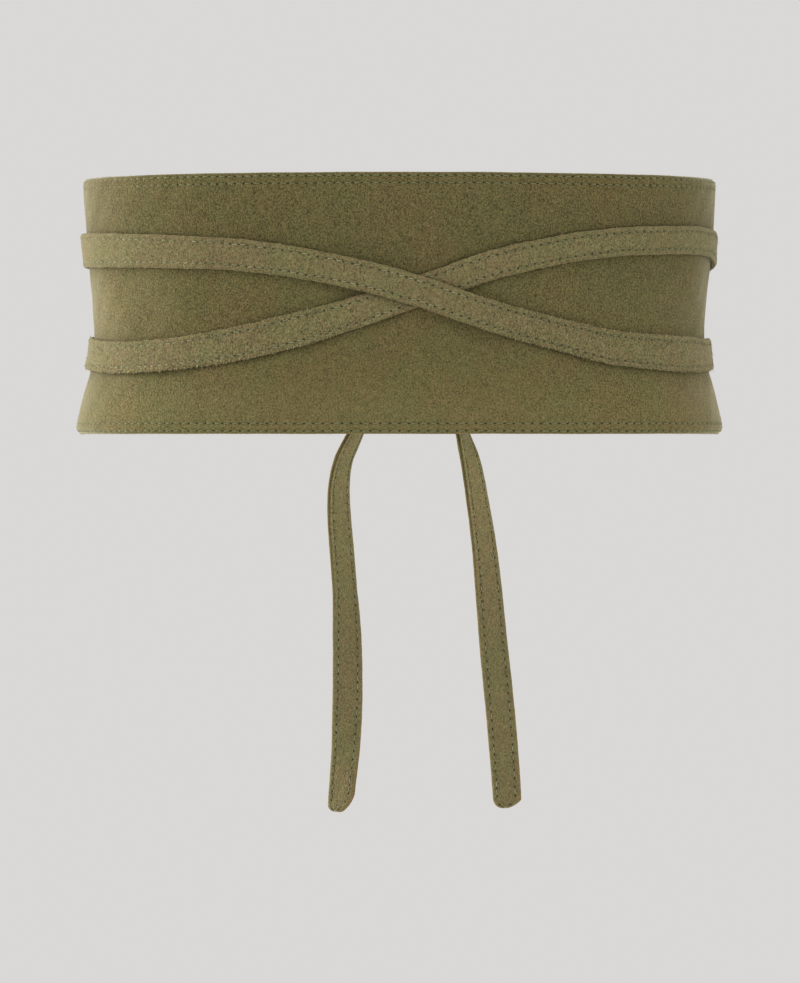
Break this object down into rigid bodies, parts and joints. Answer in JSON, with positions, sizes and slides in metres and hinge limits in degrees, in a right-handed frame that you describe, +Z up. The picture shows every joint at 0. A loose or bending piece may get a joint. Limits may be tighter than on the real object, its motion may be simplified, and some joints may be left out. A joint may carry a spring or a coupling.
{
  "type": "suede cummerbund",
  "caption": "Wide suede waist belt with stitched edges and two straps that wrap round it, cross at the front and knot at the back with hanging ends.",
  "frame": {"origin": "middle of the waist opening at its narrowest height", "axes": "+Z up along the wearer's body, the front of the belt faces -Y, +X is to the right in a front view"},
  "size_m": [0.2934, 0.2181, 0.293],
  "materials": {
    "panel_suede": "olive suede, matt with a soft nap",
    "strap_suede": "olive suede, matt with a soft nap",
    "thread": "dull sewing thread"
  },
  "bodies": {
    "root": {"panel": "panel_suede", "strap_over": "strap_suede", "strap_under": "strap_suede"}
  },
  "joints": []
}
